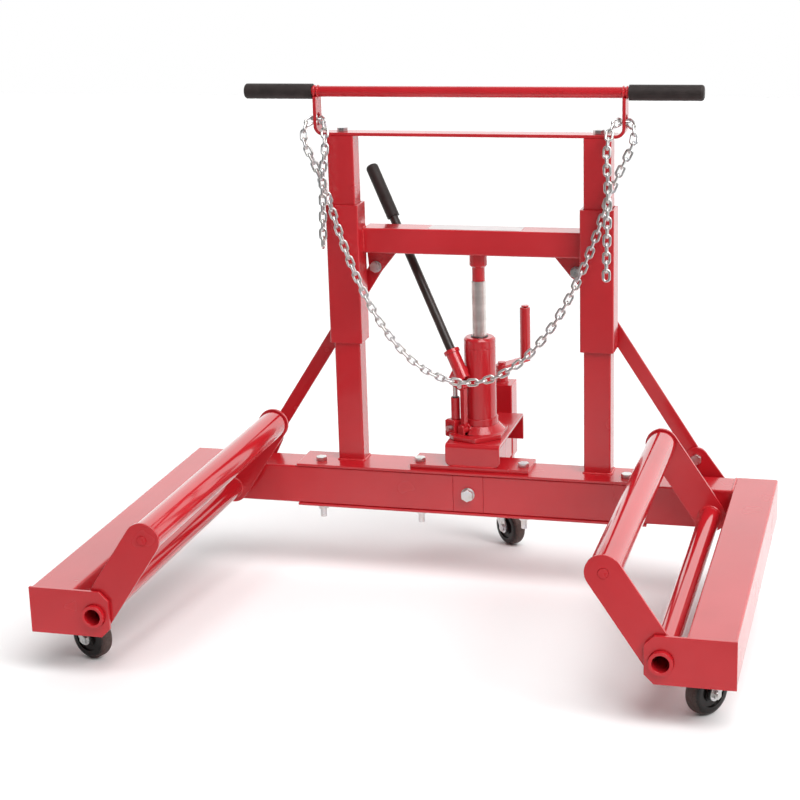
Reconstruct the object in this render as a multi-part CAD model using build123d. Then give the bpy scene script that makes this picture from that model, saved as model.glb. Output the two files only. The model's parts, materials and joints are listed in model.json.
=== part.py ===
from build123d import *
from math import acosh, atan2, cos, degrees, floor, radians, sin, sqrt, tan
import os

# A hydraulic dual-wheel dolly: a welded frame on three casters, two swinging roller arms that
# squeeze under a tyre, a bottle jack that drives them through a lift carriage and two struts,
# and a screw-adjusted rear caster that tilts the whole machine.
# Every sub-part is drawn in the machine frame: X to the right, Y to the rear, Z along the posts,
# with X = 0 on the centre plane, Y = 0 through the posts and Z = 0 at the front casters' floor.
# The finished machine is then stood on its three casters, which pitches it forward a little.
# Millimetres throughout.

# ---------------------------------------------------------------- driving dimensions
FIT = 0.1                 # radial running clearance of every pin, shaft and swivel
WELD_GAP = 0.05           # gap closed by the weld where a tube passes through a plate
WALL = 4.0                # wall of the frame's square tubes

BEAM_LENGTH = 672.0       # channel across the rear, open to the front
BEAM_FRONT = -60.0
BEAM_BACK = 28.0
BEAM_BOTTOM = 75.0
BEAM_TOP = 159.0
BEAM_WALL = 5.0

LEG_TUBE = 74.0           # square tube of the legs' cross members
LEG_TUBE_FRONT = -58.0
CENTER_BLOCK = 58.0       # filler between the two cross members
HAIRLINE = 0.2            # gap between tubes that butt inside the channel

LEG_INNER = 491.0         # leg box, measured from the centre plane
LEG_OUTER = 566.0
LEG_FRONT = -738.0
LEG_BOTTOM = 80.0
LEG_TOP = 155.0

END_PLATE = 6.0           # closing plate at the front of each leg
END_PLATE_INNER = 429.0
END_PLATE_CHAMFER = 15.0

POST_X = 238.0            # lift posts and the sleeves that slide on them
POST_WIDTH = 50.0
POST_DEPTH = 40.0
POST_TOP = 782.0
SLEEVE_WIDTH = 62.0
SLEEVE_DEPTH = 52.0
SLEEVE_WALL = 5.0
SLEEVE_BOTTOM = 392.0
SLEEVE_TOP = 655.0

BRACKET_THICKNESS = 6.0   # flat bar over the posts, bent up at both ends
BRACKET_DEPTH = 35.0
BRACKET_HALF = 288.0
BRACKET_BEND = 18.0
CHAIN_HOLE = 24.0
CHAIN_HOLE_Z = 811.0
CHAIN_HOLE_Y = -4.0
HANDLE_Z = 861.0
HANDLE_DIAMETER = 20.0
HANDLE_HALF = 420.0
GRIP_DIAMETER = 28.0
GRIP_INNER = 292.0
GRIP_OUTER = 423.0

LIFT_BEAM_FRONT = 5.0
LIFT_BEAM_BACK = 55.0
LIFT_BEAM_BOTTOM = 560.0
LIFT_BEAM_TOP = 607.0
GUSSET_FRONT = 30.0
GUSSET_THICKNESS = 6.0

PIVOT_X = 455.0           # roller arm pivot, roller and strut pin, from the centre plane
PIVOT_Z = 115.3
ROLLER_X = 367.0
ROLLER_Z = 246.5
STRUT_PIN_X = 415.0
STRUT_PIN_Z = 182.0
STRUT_TOP_X = 191.0
STRUT_TOP_Z = 529.0
PIVOT_TUBE_OUTER = 38.0
PIVOT_TUBE_BORE = 27.0
PIVOT_TUBE_FRONT = -752.0
LINK_WIDTH = 58.0
LINK_THICKNESS = 6.0
FRONT_LINK_FRONT = -736.0
MIDDLE_LINK_FRONT = -95.0
LEVER_FRONT = 31.0
ROLLER_OUTER = 51.0
ROLLER_BORE = 43.0
ROLLER_SHAFT = 16.0
STRUT_WIDTH = 26.0
STRUT_THICKNESS = 6.0
STRUT_FRONT = 38.0

JACK_X = 6.0              # bottle jack on its raised seat, set a little right of centre
JACK_Y = 34.0
SEAT_HALF = 52.0
SEAT_FRONT = -45.0
SEAT_BACK = 181.0
SEAT_TOP = 210.0
SEAT_THICKNESS = 6.0
JACK_PLATE_HALF = 114.0
JACK_PLATE_FRONT = -49.0
JACK_PLATE_BACK = 25.0
JACK_PLATE_THICKNESS = 8.0
JACK_BASE_TOP = 232.0
CYLINDER_DIAMETER = 60.0
CAP_TOP = 400.0
CAP_BOTTOM = 381.0
RAM_DIAMETER = 27.0
RAM_TOP = 507.0
NECK_TOP = 533.0
LEVER_HEADING = 147.0     # direction of the pump lever, degrees from +X towards +Y
LEVER_ASIDE = 44.0        # the lever works in an upright plane this far in front of the jack's axis
LINK_REACH = 0.0          # pump link and plunger along that plane
PLUNGER_REACH = 23.3
LINK_FOOT_Z = 226.0
LINK_PIN_Z = 314.0
PLUNGER_PIN_Z = 320.0
HANDLE_LEAN = 33.0        # pump handle from the vertical, degrees
HANDLE_OFFSET = 8.6       # the handle's axis passes this far behind the link's pin

TAIL_Y = 250.0            # rear leg with the tilt screw
TAIL_SLEEVE = 50.0
TAIL_LEG = 40.0
TAIL_SLEEVE_BOTTOM = 100.0
TAIL_SLEEVE_TOP = 251.0
NECK_DIAMETER = 25.0
TAIL_NECK_TOP = 276.0
TAIL_DROP = 86.0          # how far the tilt screw is run out
CRANK_REACH = 70.0
CRANK_HEADING = 59.0
CRANK_Z = 281.0
CRANK_GRIP_DIAMETER = 21.0

CASTER_HEIGHT = 95.0
WHEEL_DIAMETER = 75.0
WHEEL_WIDTH = 28.0
TREAD_ROUND = 10.0
CASTER_TRAIL = 24.0
CASTER_AXLE = 8.0
FRONT_CASTER_X = 528.5
FRONT_CASTER_Y = -640.0
LEFT_HEADING = -21.0      # direction in which each wheel trails its swivel, degrees from +X
RIGHT_HEADING = 232.0
REAR_HEADING = -43.0

CHAIN_WIRE = 4.5
CHAIN_LINK = 25.0
CHAIN_WIDTH = 16.0
CHAIN_SLACK = 0.5
SWAG_BOTTOM = 337.0
SWAG_CURVE = 135.0        # catenary parameter of the hanging chain
SWAG_FRONT = -37.0        # the chain's distance in front of the sleeves

SIDES = {"left": -1, "right": 1}


# ---------------------------------------------------------------- drawing helpers
def block(x0, x1, y0, y1, z0, z1):
    """Box between two corners."""
    centre = ((x0 + x1) / 2, (y0 + y1) / 2, (z0 + z1) / 2)
    return Pos(*centre) * Box(abs(x1 - x0), abs(y1 - y0), abs(z1 - z0))


def rod(start, end, diameter):
    """Round bar between two points."""
    axis = Vector(*end) - Vector(*start)
    plane = Plane(origin=start, z_dir=axis)
    return plane * Cylinder(diameter / 2, axis.length, align=(Align.CENTER, Align.CENTER, Align.MIN))


def plate(outline, front, thickness):
    """Plate across Y, from an outline drawn in X and Z."""
    return extrude(Plane.XZ.offset(-front) * outline, amount=-thickness)


def square_tube(x0, x1, y0, y1, z0, z1, wall, axis, corner=3.0):
    """Rectangular tube along one axis, with rounded long corners."""
    along = {"x": Axis.X, "y": Axis.Y, "z": Axis.Z}[axis]
    grow = {"x": (0, wall, wall), "y": (wall, 0, wall), "z": (wall, wall, 0)}[axis]
    outer = block(x0, x1, y0, y1, z0, z1)
    outer = fillet(outer.edges().filter_by(along), corner)
    inner = block(x0 + grow[0], x1 - grow[0], y0 + grow[1], y1 - grow[1], z0 + grow[2], z1 - grow[2])
    return outer - inner


def bar_outline(x0, z0, x1, z1, radius_start, radius_end):
    """Flat bar with round ends about two pin centres."""
    start = Pos(x0, z0) * Circle(radius_start)
    end = Pos(x1, z1) * Circle(radius_end)
    return make_hull([*start.edges(), *end.edges()])


def hex_head(across, height):
    """Hexagon standing on XY."""
    return extrude(RegularPolygon(across / 2, 6, major_radius=False), amount=height)


def hex_bolt(head, end, diameter, across):
    """Bolt whose head sits at one point and whose shank reaches another."""
    axis = Vector(*end) - Vector(*head)
    plane = Plane(origin=head, z_dir=axis)
    height = diameter * 0.62
    shank = Cylinder(diameter / 2, axis.length, align=(Align.CENTER, Align.CENTER, Align.MIN))
    return plane * (Pos(0, 0, -height) * hex_head(across, height) + shank)


def ring(centre, axis, outer, inner, thickness):
    """Washer, nut blank or collar, standing on a point along an axis."""
    plane = Plane(origin=centre, z_dir=axis)
    body = Cylinder(outer / 2, thickness, align=(Align.CENTER, Align.CENTER, Align.MIN))
    bore = Cylinder(inner / 2, thickness, align=(Align.CENTER, Align.CENTER, Align.MIN))
    return plane * (body - bore)


def hex_nut(centre, axis, across, inner, thickness):
    """Hexagon nut standing on a point along an axis."""
    plane = Plane(origin=centre, z_dir=axis)
    bore = Cylinder(inner / 2, thickness, align=(Align.CENTER, Align.CENTER, Align.MIN))
    return plane * (hex_head(across, thickness) - bore)


def group(solids):
    """Several separate solids kept in one node."""
    return Compound(children=[solid for item in solids for solid in item.solids()])


# ---------------------------------------------------------------- how the machine stands
def wheel_reach(heading, pitch):
    """How far a wheel's lowest point lies below its centre when its swivel leans by pitch."""
    axle = Vector(-sin(radians(heading)), cos(radians(heading)), 0).rotate(Axis.X, pitch)
    flat = sqrt(1 - axle.Z ** 2)
    radial = (WHEEL_DIAMETER / 2 - TREAD_ROUND) * flat
    sideways = (WHEEL_WIDTH / 2 - TREAD_ROUND) * abs(axle.Z)
    return radial + sideways + TREAD_ROUND


def wheel_centre(x, y, floor_z, heading):
    """Centre of a caster's wheel in the machine frame."""
    trail = Vector(cos(radians(heading)), sin(radians(heading)), 0) * CASTER_TRAIL
    return Vector(x, y, floor_z + WHEEL_DIAMETER / 2) + trail


CASTERS = {
    "left": (-FRONT_CASTER_X, FRONT_CASTER_Y, 0.0, LEFT_HEADING),
    "right": (FRONT_CASTER_X, FRONT_CASTER_Y, 0.0, RIGHT_HEADING),
    "rear": (0.0, TAIL_Y, -TAIL_DROP, REAR_HEADING),
}
WHEELBASE = wheel_centre(*CASTERS["rear"]).Y - (
    wheel_centre(*CASTERS["left"]).Y + wheel_centre(*CASTERS["right"]).Y) / 2
PITCH = degrees(atan2(TAIL_DROP, WHEELBASE))


def standing():
    """Where the machine frame sits once all three wheels touch the ground."""
    tilt = Rot(PITCH, 0, 0)
    lowest = min(
        (tilt * Pos(wheel_centre(*caster))).position.Z - wheel_reach(caster[3], PITCH)
        for caster in CASTERS.values())
    return Pos(0, 0, -lowest) * tilt


# ---------------------------------------------------------------- frame
def channel_beam():
    """Open-fronted channel with clearance holes for the vertical bolts and the centre bolt."""
    half = BEAM_LENGTH / 2
    body = block(-half, half, BEAM_FRONT, BEAM_BACK, BEAM_BOTTOM, BEAM_TOP)
    body = fillet(body.edges().filter_by(Axis.X).group_by(Axis.Y)[-1], 6)
    low, high = BEAM_BOTTOM + BEAM_WALL, BEAM_TOP - BEAM_WALL
    body -= block(-half, half, BEAM_FRONT, BEAM_BACK - BEAM_WALL, low, high)
    for x, y in FLANGE_BOLTS:
        body -= rod((x, y, 0), (x, y, BEAM_TOP + 1), FLANGE_BOLT_DIAMETER)
    return body - rod((0, BEAM_FRONT, CENTER_BOLT_Z), (0, BEAM_BACK, CENTER_BOLT_Z), CENTER_BOLT_DIAMETER)


FLANGE_BOLT_DIAMETER = 12.0
FLANGE_BOLTS = [(-295, -30), (-100, -25), (100, -25), (295, -30)]
CENTER_BOLT_DIAMETER = 14.0
CENTER_BOLT_Z = 117.0


def cross_tube(side):
    """Leg cross member: slides into the channel and takes two flange bolts and the arm pivot."""
    back = LEG_TUBE_FRONT + LEG_TUBE
    low = BEAM_BOTTOM + BEAM_WALL
    inner = CENTER_BLOCK / 2 + HAIRLINE
    x0, x1 = sorted((side * inner, side * LEG_INNER))
    tube = square_tube(x0, x1, LEG_TUBE_FRONT, back, low, low + LEG_TUBE, WALL, "x")
    for x, y in FLANGE_BOLTS:
        if x * side > 0:
            tube -= rod((x, y, 0), (x, y, BEAM_TOP), FLANGE_BOLT_DIAMETER)
    pivot = (side * PIVOT_X, LEG_TUBE_FRONT - 1, PIVOT_Z)
    return tube - rod(pivot, (side * PIVOT_X, back + 1, PIVOT_Z), PIVOT_TUBE_OUTER + 2 * FIT)


def center_block():
    """Filler tube in the middle of the channel, held by the centre bolt."""
    half = CENTER_BLOCK / 2
    low = BEAM_BOTTOM + BEAM_WALL
    back = LEG_TUBE_FRONT + LEG_TUBE
    tube = square_tube(-half, half, LEG_TUBE_FRONT, back, low, low + LEG_TUBE, WALL, "x")
    start, end = (0, LEG_TUBE_FRONT - 1, CENTER_BOLT_Z), (0, BEAM_BACK, CENTER_BOLT_Z)
    return tube - rod(start, end, CENTER_BOLT_DIAMETER)


def leg_box(side):
    """Leg: box open underneath, closed at the back, with a cross web that carries the caster."""
    back = LEG_TUBE_FRONT + LEG_TUBE
    x0, x1 = sorted((side * LEG_INNER, side * LEG_OUTER))
    box = block(x0, x1, LEG_FRONT, back, LEG_BOTTOM, LEG_TOP)
    box = fillet(box.edges().filter_by(Axis.Y).group_by(Axis.Z)[-1], 4)
    box -= block(x0 + WALL, x1 - WALL, LEG_FRONT, back - WALL, LEG_BOTTOM, LEG_TOP - WALL)
    web_front, web_back = FRONT_CASTER_Y - 45, FRONT_CASTER_Y + 45
    web = block(x0 + WALL, x1 - WALL, web_front, web_back, CASTER_HEIGHT, CASTER_HEIGHT + 5)
    return box + web


def front_end_plates():
    """Chamfered plates that close the legs and hold the front end of the pivot tubes."""
    plates = []
    for side in SIDES.values():
        x0, x1 = sorted((side * END_PLATE_INNER, side * (LEG_OUTER + 1)))
        middle = Pos((x0 + x1) / 2, (LEG_BOTTOM + LEG_TOP) / 2)
        outline = middle * Rectangle(x1 - x0, LEG_TOP - LEG_BOTTOM + 3)
        inner = outline.vertices().group_by(Axis.X)[0 if side > 0 else -1]
        outline = chamfer(inner, END_PLATE_CHAMFER)
        hole = Pos(side * PIVOT_X, PIVOT_Z) * Circle(PIVOT_TUBE_OUTER / 2 + FIT)
        plates.append(plate(outline - hole, LEG_FRONT - END_PLATE, END_PLATE))
    return group(plates)


def post(side):
    """Fixed lift post."""
    x = side * POST_X
    half_width = POST_WIDTH / 2
    half_depth = POST_DEPTH / 2
    return square_tube(x - half_width, x + half_width, -half_depth, half_depth, BEAM_TOP, POST_TOP, WALL, "z")


def handle_bracket():
    """Flat bar across the post tops, bent up at both ends, with a chain hole in each upright."""
    half_depth = BRACKET_DEPTH / 2
    top = HANDLE_Z - HANDLE_DIAMETER / 2 + 2
    thick = BRACKET_THICKNESS
    outer = Pos(0, (POST_TOP + top) / 2) * Rectangle(2 * BRACKET_HALF, top - POST_TOP)
    outer = fillet(outer.vertices().group_by(Axis.Y)[0], BRACKET_BEND)
    inner = Rectangle(2 * (BRACKET_HALF - thick), top - POST_TOP - thick)
    inner = Pos(0, (POST_TOP + thick + top) / 2) * inner
    inner = fillet(inner.vertices().group_by(Axis.Y)[0], BRACKET_BEND - thick)
    bar = plate(outer - inner, -half_depth, BRACKET_DEPTH)
    hole_end = (BRACKET_HALF + 5, CHAIN_HOLE_Y, CHAIN_HOLE_Z)
    bar -= rod((-BRACKET_HALF - 5, CHAIN_HOLE_Y, CHAIN_HOLE_Z), hole_end, CHAIN_HOLE)
    for side in SIDES.values():
        bar -= rod((side * POST_X, 0, POST_TOP - 1), (side * POST_X, 0, POST_TOP + 20), FLANGE_BOLT_DIAMETER)
    return bar - rod((-HANDLE_HALF, 0, HANDLE_Z), (HANDLE_HALF, 0, HANDLE_Z), HANDLE_DIAMETER)


def handle_bar():
    """Round push bar welded into the bracket's uprights."""
    return rod((-HANDLE_HALF, 0, HANDLE_Z), (HANDLE_HALF, 0, HANDLE_Z), HANDLE_DIAMETER)


def handle_grips():
    """Moulded grips, closed and rounded at the outer ends."""
    grips = []
    for side in SIDES.values():
        grip = rod((side * GRIP_INNER, 0, HANDLE_Z), (side * GRIP_OUTER, 0, HANDLE_Z), GRIP_DIAMETER)
        outer = grip.edges().filter_by(GeomType.CIRCLE).sort_by(Axis.X)[-1 if side > 0 else 0]
        grip = fillet(outer, 5)
        grips.append(grip - handle_bar())
    return group(grips)


BRACKET_BOLT_LENGTH = 24.0
NUT_HEIGHT = 10.0


def frame_bolts():
    """Bolts through the channel flanges, through the centre, and down into the post tops."""
    bolts = []
    for x, y in FLANGE_BOLTS:
        seat = BEAM_TOP + (JACK_PLATE_THICKNESS if abs(x) < JACK_PLATE_HALF else 0)
        bolts.append(hex_bolt((x, y, seat), (x, y, BEAM_BOTTOM - 30), FLANGE_BOLT_DIAMETER, 19))
    front = LEG_TUBE_FRONT - 3
    end = (0, BEAM_BACK + 20, CENTER_BOLT_Z)
    bolts.append(hex_bolt((0, front, CENTER_BOLT_Z), end, CENTER_BOLT_DIAMETER, 21))
    for side in SIDES.values():
        top = POST_TOP + BRACKET_THICKNESS
        end = (side * POST_X, 0, top - BRACKET_BOLT_LENGTH)
        bolts.append(hex_bolt((side * POST_X, 0, top), end, FLANGE_BOLT_DIAMETER, 18))
    return group(bolts)


def frame_nuts():
    """Nuts and washers of the frame bolts."""
    nuts = [ring((0, LEG_TUBE_FRONT - 3, CENTER_BOLT_Z), (0, 1, 0), 26, CENTER_BOLT_DIAMETER, 3)]
    for x, y in FLANGE_BOLTS:
        washer, nut = BEAM_BOTTOM - 2.5, BEAM_BOTTOM - 2.5 - NUT_HEIGHT
        nuts.append(ring((x, y, washer), (0, 0, 1), 24, FLANGE_BOLT_DIAMETER, 2.5))
        nuts.append(hex_nut((x, y, nut), (0, 0, 1), 19, FLANGE_BOLT_DIAMETER, NUT_HEIGHT))
    back = BEAM_BACK + TAIL_FLANGE
    nuts.append(hex_nut((0, back, CENTER_BOLT_Z), (0, 1, 0), 21, CENTER_BOLT_DIAMETER, 11))
    for side in SIDES.values():
        under = POST_TOP - NUT_HEIGHT
        nuts.append(hex_nut((side * POST_X, 0, under), (0, 0, 1), 19, FLANGE_BOLT_DIAMETER, NUT_HEIGHT))
    return group(nuts)


# ---------------------------------------------------------------- tail and tilt screw
TAIL_ARM_HALF = 25.0
TAIL_ARM_BOTTOM = 107.0
TAIL_ARM_TOP = 157.0
TAIL_FLANGE = 6.0
SCREW_DIAMETER = 16.0
SCREW_END = 118.0
LEG_TOP_AT_REST = 160.0
NUT_BLOCK = 15.0


def tail_arm():
    """Square tube from the channel back to the tail sleeve: bolting flange, notch for the nut."""
    sleeve_front = TAIL_Y - TAIL_SLEEVE / 2
    low, high = TAIL_ARM_BOTTOM, TAIL_ARM_TOP
    tube = square_tube(-TAIL_ARM_HALF, TAIL_ARM_HALF, BEAM_BACK, sleeve_front, low, high, WALL, "y")
    flange = block(-45, 45, BEAM_BACK, BEAM_BACK + TAIL_FLANGE, 82, TAIL_ARM_TOP)
    nut_bay = block(-16, 16, BEAM_BACK + TAIL_FLANGE, BEAM_BACK + TAIL_FLANGE + 20, low - 1, low + WALL)
    end = (0, BEAM_BACK + TAIL_FLANGE + 1, CENTER_BOLT_Z)
    return tube - nut_bay + flange - rod((0, BEAM_BACK - 1, CENTER_BOLT_Z), end, CENTER_BOLT_DIAMETER)


def tail_sleeve():
    """Upright sleeve that guides the rear leg, capped by the screw's bearing neck."""
    half = TAIL_SLEEVE / 2
    front, back = TAIL_Y - half, TAIL_Y + half
    sleeve = square_tube(-half, half, front, back, TAIL_SLEEVE_BOTTOM, TAIL_SLEEVE_TOP, WALL, "z")
    inside = half - WALL
    cap = block(-inside, inside, front + WALL, back - WALL, TAIL_SLEEVE_TOP - 4, TAIL_SLEEVE_TOP)
    housing = rod((0, TAIL_Y, TAIL_SLEEVE_TOP), (0, TAIL_Y, TAIL_NECK_TOP), NECK_DIAMETER)
    bore = rod((0, TAIL_Y, TAIL_SLEEVE_TOP - 10), (0, TAIL_Y, TAIL_NECK_TOP + 1), SCREW_DIAMETER + 2 * FIT)
    return sleeve + cap + housing - bore


def tail_leg():
    """Inner leg with its nut block and foot plate; it rises and falls on the screw."""
    half = TAIL_LEG / 2
    foot = CASTER_HEIGHT - TAIL_DROP
    front, back = TAIL_Y - half, TAIL_Y + half
    tube = square_tube(-half, half, front, back, foot + 5, LEG_TOP_AT_REST, WALL, "z")
    inside = half - WALL
    nut = block(-inside, inside, front + WALL, back - WALL, LEG_TOP_AT_REST - NUT_BLOCK, LEG_TOP_AT_REST)
    sole = block(-32, 32, TAIL_Y - 32, TAIL_Y + 32, foot, foot + 5)
    bore = rod((0, TAIL_Y, LEG_TOP_AT_REST - 40), (0, TAIL_Y, LEG_TOP_AT_REST + 1), SCREW_DIAMETER + 2 * FIT)
    return tube + nut + sole - bore


def crank_tip():
    """Foot of the crank grip in the machine frame."""
    heading = radians(CRANK_HEADING)
    return Vector(CRANK_REACH * cos(heading), TAIL_Y + CRANK_REACH * sin(heading), CRANK_Z)


def tail_crank():
    """Tilt screw with its thrust collar, flat crank arm and grip stud, welded together."""
    tip = crank_tip()
    screw = rod((0, TAIL_Y, SCREW_END), (0, TAIL_Y, CRANK_Z + 12), SCREW_DIAMETER)
    collar = rod((0, TAIL_Y, TAIL_NECK_TOP + 0.3), (0, TAIL_Y, CRANK_Z), 24)
    arm = make_hull([*Circle(13).edges(), *(Pos(CRANK_REACH, 0) * Circle(10)).edges()])
    arm = Pos(0, TAIL_Y, CRANK_Z) * Rot(0, 0, CRANK_HEADING) * extrude(arm, amount=6)
    stud = rod((tip.X, tip.Y, CRANK_Z), (tip.X, tip.Y, CRANK_Z + 112), 8)
    head = rod((tip.X, tip.Y, CRANK_Z + 112), (tip.X, tip.Y, CRANK_Z + 115), 15)
    return screw + collar + arm + stud + head


def crank_grip():
    """Loose grip that turns on the crank's stud."""
    tip = crank_tip()
    low, high = CRANK_Z + 7, CRANK_Z + 111
    grip = rod((tip.X, tip.Y, low), (tip.X, tip.Y, high), CRANK_GRIP_DIAMETER)
    grip = fillet(grip.edges().filter_by(GeomType.CIRCLE), 2)
    return grip - rod((tip.X, tip.Y, low - 1), (tip.X, tip.Y, high + 1), 8 + 2 * FIT)


# ---------------------------------------------------------------- casters
FORK_THICKNESS = 3.0
FORK_GAP = 32.0
CROWN = 46.0
RACE_TOP = CASTER_HEIGHT - 3.0
RACE_BOTTOM = CASTER_HEIGHT - 9.0
CROWN_TOP = RACE_BOTTOM - 0.4
KING_PIN = 10.0


def caster_place(name):
    """Location of a caster's own frame: origin under the swivel, X along the trail."""
    x, y, floor_z, heading = CASTERS[name]
    return Pos(x, y, floor_z) * Rot(0, 0, heading)


def caster_plate(name, side_length):
    """Top plate with its race and king pin."""
    half = side_length / 2
    top = block(-half, half, -half, half, RACE_TOP, CASTER_HEIGHT)
    race = rod((0, 0, RACE_BOTTOM), (0, 0, RACE_TOP), CROWN)
    pin = rod((0, 0, CROWN_TOP - 7), (0, 0, RACE_TOP), KING_PIN)
    head = rod((0, 0, CROWN_TOP - 9), (0, 0, CROWN_TOP - 5.4), 18)
    x, y, floor_z, heading = CASTERS[name]
    return Pos(x, y, floor_z) * (top + race + pin + head)


def caster_fork(name):
    """Pressed fork: crown on the king pin and two cheeks down to the axle, with its axle bolt."""
    axle_z = WHEEL_DIAMETER / 2
    crown = rod((0, 0, CROWN_TOP - 5), (0, 0, CROWN_TOP), CROWN)
    crown -= rod((0, 0, CROWN_TOP - 6), (0, 0, CROWN_TOP + 1), KING_PIN + 2 * FIT)
    cheek_outline = make_hull([
        *(Pos(0, CROWN_TOP - 4) * Rectangle(32, 8)).edges(),
        *(Pos(CASTER_TRAIL, axle_z) * Circle(11)).edges()])
    bore = Pos(CASTER_TRAIL, axle_z) * Circle(CASTER_AXLE / 2)
    fork = crown
    for y in (-FORK_GAP / 2 - FORK_THICKNESS, FORK_GAP / 2):
        fork += plate(cheek_outline - bore, y, FORK_THICKNESS)
    outer = FORK_GAP / 2 + FORK_THICKNESS
    axle = hex_bolt((CASTER_TRAIL, -outer, axle_z), (CASTER_TRAIL, outer + 8, axle_z), CASTER_AXLE, 13)
    nut = hex_nut((CASTER_TRAIL, outer, axle_z), (0, 1, 0), 13, CASTER_AXLE, 6)
    return caster_place(name) * group([fork, axle, nut])


def caster_wheel(name):
    """Solid wheel with a crowned tread and recessed sides, bored for its axle."""
    radius = WHEEL_DIAMETER / 2
    half = WHEEL_WIDTH / 2
    section = Rectangle(2 * radius, WHEEL_WIDTH)
    section = fillet(section.vertices(), TREAD_ROUND)
    section += Rectangle(26, FORK_GAP - 1)
    for end in (-1, 1):
        for mid in (-1, 1):
            section -= Pos(mid * 19, end * half) * Rectangle(8, 6)
    section &= Pos(radius, 0) * Rectangle(2 * radius, 2 * FORK_GAP)
    section -= Rectangle(CASTER_AXLE + 2 * FIT, 2 * FORK_GAP)
    wheel = revolve(section, Axis.Y)
    return caster_place(name) * Pos(CASTER_TRAIL, 0, radius) * wheel


# ---------------------------------------------------------------- lift carriage
def sleeve(side):
    """Outer sleeve sliding on a post, 1 mm clear all round."""
    x = side * POST_X
    half_width = SLEEVE_WIDTH / 2
    half_depth = SLEEVE_DEPTH / 2
    low, high = SLEEVE_BOTTOM, SLEEVE_TOP
    return square_tube(x - half_width, x + half_width, -half_depth, half_depth, low, high, SLEEVE_WALL, "z")


def lift_beam():
    """Cross tube between the sleeves, pushed up by the jack."""
    half = POST_X - SLEEVE_WIDTH / 2
    front, back = LIFT_BEAM_FRONT, LIFT_BEAM_BACK
    return square_tube(-half, half, front, back, LIFT_BEAM_BOTTOM, LIFT_BEAM_TOP, WALL, "x")


def beam_label():
    """Blank label on top of the lift beam."""
    middle = Pos(LABEL_X, (LIFT_BEAM_FRONT + LIFT_BEAM_BACK) / 2, LIFT_BEAM_TOP)
    return middle * extrude(RectangleRounded(LABEL_LENGTH, LABEL_DEPTH, 4), amount=0.4)


LABEL_X = 4.0
LABEL_LENGTH = 176.0
LABEL_DEPTH = 38.0
GUSSET_REACH = 57.0
GUSSET_EYE = 14.0
STRUT_BOLT = 12.0


def lift_gussets():
    """Lugs under the ends of the lift beam that carry the struts' upper bolts."""
    lugs = []
    top = LIFT_BEAM_BOTTOM
    for side in SIDES.values():
        outer = side * (POST_X - SLEEVE_WIDTH / 2)
        inner = outer - side * GUSSET_REACH
        edge = Polyline((outer, top), (inner, top), (inner, top - 3), (outer, top - 6), close=True)
        eye = Pos(side * STRUT_TOP_X, STRUT_TOP_Z)
        outline = make_hull([*edge.edges(), *(eye * Circle(GUSSET_EYE)).edges()])
        outline -= eye * Circle(STRUT_BOLT / 2)
        lugs.append(plate(outline, GUSSET_FRONT, GUSSET_THICKNESS))
    return group(lugs)


def gusset_bolts():
    """Bolts, washers and nuts at the top of the struts."""
    hardware = []
    back = STRUT_FRONT + STRUT_THICKNESS
    for side in SIDES.values():
        x, z = side * STRUT_TOP_X, STRUT_TOP_Z
        hardware.append(ring((x, GUSSET_FRONT - 2, z), (0, 1, 0), 22, STRUT_BOLT, 2))
        hardware.append(hex_bolt((x, GUSSET_FRONT - 2, z), (x, back + 14, z), STRUT_BOLT, 18))
        hardware.append(ring((x, back + 0.5, z), (0, 1, 0), 22, STRUT_BOLT, 2))
        hardware.append(hex_nut((x, back + 2.5, z), (0, 1, 0), 18, STRUT_BOLT, 9))
    return group(hardware)


def strut(side):
    """Flat bar that pulls a roller arm inward as the carriage rises."""
    ends = (side * STRUT_TOP_X, STRUT_TOP_Z, side * STRUT_PIN_X, STRUT_PIN_Z)
    half = STRUT_WIDTH / 2
    outline = bar_outline(*ends, half, half)
    outline -= Pos(side * STRUT_TOP_X, STRUT_TOP_Z) * Circle(STRUT_BOLT / 2 + FIT)
    outline -= Pos(side * STRUT_PIN_X, STRUT_PIN_Z) * Circle(STRUT_BOLT / 2 + FIT)
    return plate(outline, STRUT_FRONT, STRUT_THICKNESS)


# ---------------------------------------------------------------- roller arms
def pivot_tube(side):
    """Hollow torque tube that turns in the end plate and the cross member."""
    end = LEVER_FRONT + LINK_THICKNESS
    x = side * PIVOT_X
    tube = rod((x, PIVOT_TUBE_FRONT, PIVOT_Z), (x, end, PIVOT_Z), PIVOT_TUBE_OUTER)
    return tube - rod((x, PIVOT_TUBE_FRONT - 1, PIVOT_Z), (x, end + 1, PIVOT_Z), PIVOT_TUBE_BORE)


def arm_links(side):
    """Two links that carry the roller, and the lever at the rear that the strut pulls."""
    half = LINK_WIDTH / 2
    pivot_hole = Pos(side * PIVOT_X, PIVOT_Z) * Circle(PIVOT_TUBE_OUTER / 2 + WELD_GAP)
    outline = bar_outline(side * PIVOT_X, PIVOT_Z, side * ROLLER_X, ROLLER_Z, half, half)
    outline -= pivot_hole
    outline -= Pos(side * ROLLER_X, ROLLER_Z) * Circle(ROLLER_SHAFT / 2)
    lever = bar_outline(side * PIVOT_X, PIVOT_Z, side * STRUT_PIN_X, STRUT_PIN_Z, half, 22)
    lever -= pivot_hole
    lever -= Pos(side * STRUT_PIN_X, STRUT_PIN_Z) * Circle(STRUT_BOLT / 2)
    return group([
        plate(outline, FRONT_LINK_FRONT, LINK_THICKNESS),
        plate(outline, MIDDLE_LINK_FRONT, LINK_THICKNESS),
        plate(lever, LEVER_FRONT, LINK_THICKNESS)])


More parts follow.
